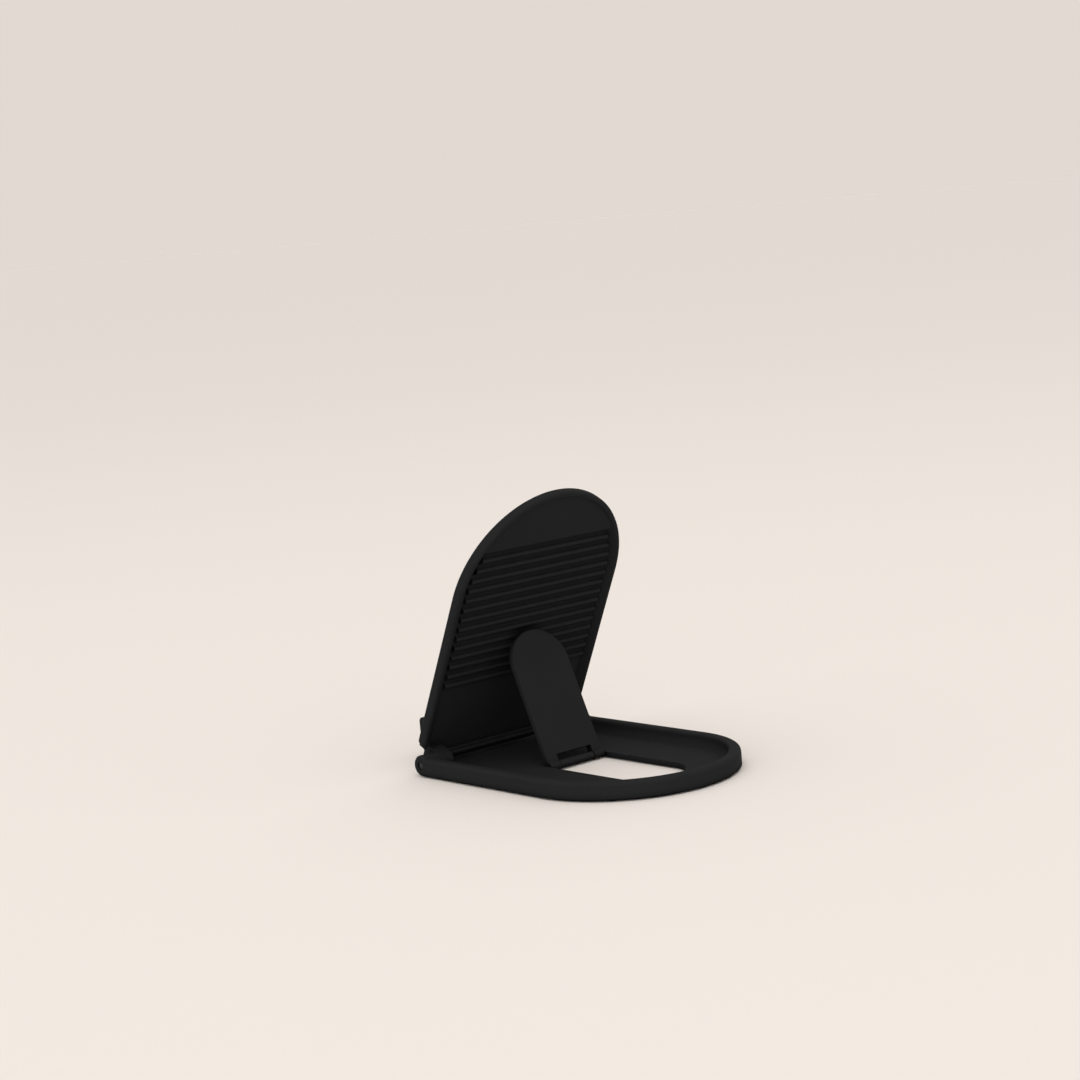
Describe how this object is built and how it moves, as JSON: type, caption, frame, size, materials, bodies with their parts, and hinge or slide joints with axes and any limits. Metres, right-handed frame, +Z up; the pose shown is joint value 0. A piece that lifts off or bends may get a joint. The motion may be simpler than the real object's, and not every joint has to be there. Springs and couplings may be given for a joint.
{
  "type": "folding phone holder",
  "caption": "Folding desk holder for a phone: an arched ribbed backrest hinged on a tray base, propped from behind by a hinged strut, with front hooks for the phone's lower edge.",
  "frame": {"origin": "on the table, below the middle of the opened holder's bounding box", "axes": "+X along the fold axis, +Y towards the round rear end of the base, +Z up"},
  "size_m": [0.069, 0.1116, 0.085],
  "materials": {
    "black_plastic": "fine satin moulding texture",
    "steel": "blackened drawn rod",
    "soft_pad": "soft matte sheet",
    "rubber_foot": "matte"
  },
  "bodies": {
    "base": {"base_tray": "black_plastic", "backrest_hinge_pin_left": "steel", "backrest_hinge_pin_right": "steel", "strut_hinge_pin": "steel", "hook_liner_left": "soft_pad", "hook_liner_right": "soft_pad", "foot_front_left": "rubber_foot", "foot_front_right": "rubber_foot", "foot_rear_left": "rubber_foot", "foot_rear_right": "rubber_foot"},
    "backrest": {"backrest_panel": "black_plastic", "backrest_grip_pad": "soft_pad"},
    "strut": {"prop_strut": "black_plastic"}
  },
  "joints": [
    {"name": "backrest_fold", "type": "hinge", "parent": "base", "child": "backrest", "pos_m": [0, -0.0335, 0.0036], "axis": [1, 0, 0], "range_deg": [-63.2, 0]},
    {"name": "strut_fold", "type": "hinge", "parent": "base", "child": "strut", "pos_m": [0, -0.0011, 0.0018], "axis": [1, 0, 0], "range_deg": [-112.89, 0.1]}
  ],
  "couplings": [
    {"joint": "strut_fold", "follows": "backrest_fold", "ratio": 1.7847}
  ]
}
